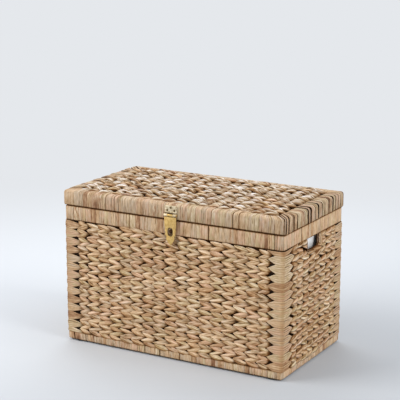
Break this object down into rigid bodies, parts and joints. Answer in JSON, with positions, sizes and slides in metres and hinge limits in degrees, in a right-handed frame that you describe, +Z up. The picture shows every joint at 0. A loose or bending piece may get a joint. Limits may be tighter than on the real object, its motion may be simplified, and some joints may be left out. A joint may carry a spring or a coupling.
{
  "type": "woven storage trunk",
  "caption": "Rectangular floor trunk woven from water hyacinth on a wooden frame, with a hinged lid, a brass hasp, hand holes in the short sides and a cotton liner.",
  "frame": {"origin": "on the floor under the middle of the trunk", "axes": "+X along the length, -Y to the front with the hasp, +Z up"},
  "size_m": [0.7, 0.3992, 0.45],
  "materials": {
    "strand_wrap": "matte",
    "strand_weave": "matte",
    "frame_timber": "matte",
    "plywood": "matte",
    "cotton": "matte",
    "brass": "satin",
    "glide": "matte"
  },
  "bodies": {
    "chest": {"front_base_wrap": "strand_wrap", "right_base_wrap": "strand_wrap", "back_base_wrap": "strand_wrap", "left_base_wrap": "strand_wrap", "front_base_rail": "frame_timber", "right_base_rail": "frame_timber", "back_base_rail": "frame_timber", "left_base_rail": "frame_timber", "front_rim_wrap": "strand_wrap", "right_rim_wrap": "strand_wrap", "back_rim_wrap": "strand_wrap", "left_rim_wrap": "strand_wrap", "front_rim_rail": "frame_timber", "right_rim_rail": "frame_timber", "back_rim_rail": "frame_timber", "left_rim_rail": "frame_timber", "front_left_corner_wrap": "strand_wrap", "front_right_corner_wrap": "strand_wrap", "back_right_corner_wrap": "strand_wrap", "back_left_corner_wrap": "strand_wrap", "front_left_corner_post": "frame_timber", "front_right_corner_post": "frame_timber", "back_right_corner_post": "frame_timber", "back_left_corner_post": "frame_timber", "front_panel": "strand_weave", "right_panel": "strand_weave", "back_panel": "strand_weave", "left_panel": "strand_weave", "base_panel": "plywood", "liner": "cotton", "front_left_foot": "glide", "front_right_foot": "glide", "back_right_foot": "glide", "back_left_foot": "glide", "hasp_stud": "brass", "left_hinge_body_leaf": "brass", "right_hinge_body_leaf": "brass", "left_hinge_pin": "brass", "right_hinge_pin": "brass"},
    "lid": {"front_lid_wrap": "strand_wrap", "right_lid_wrap": "strand_wrap", "back_lid_wrap": "strand_wrap", "left_lid_wrap": "strand_wrap", "front_lid_rail": "frame_timber", "right_lid_rail": "frame_timber", "back_lid_rail": "frame_timber", "left_lid_rail": "frame_timber", "lid_panel": "strand_weave", "left_hinge_lid_leaf": "brass", "right_hinge_lid_leaf": "brass", "hasp_plate": "brass", "hasp_pin": "brass", "hasp_screw_top": "brass", "hasp_screw_left": "brass", "hasp_screw_right": "brass"},
    "hasp": {"hasp_leaf": "brass"}
  },
  "joints": [
    {"name": "lid_hinge", "type": "hinge", "parent": "chest", "child": "lid", "pos_m": [0, 0.1938, 0.4046], "axis": [-1, 0, 0], "range_deg": [0, 105]},
    {"name": "hasp_hinge", "type": "hinge", "parent": "lid", "child": "hasp", "pos_m": [0.007, -0.1943, 0.4195], "axis": [-1, 0, 0], "range_deg": [-3, 165]}
  ]
}
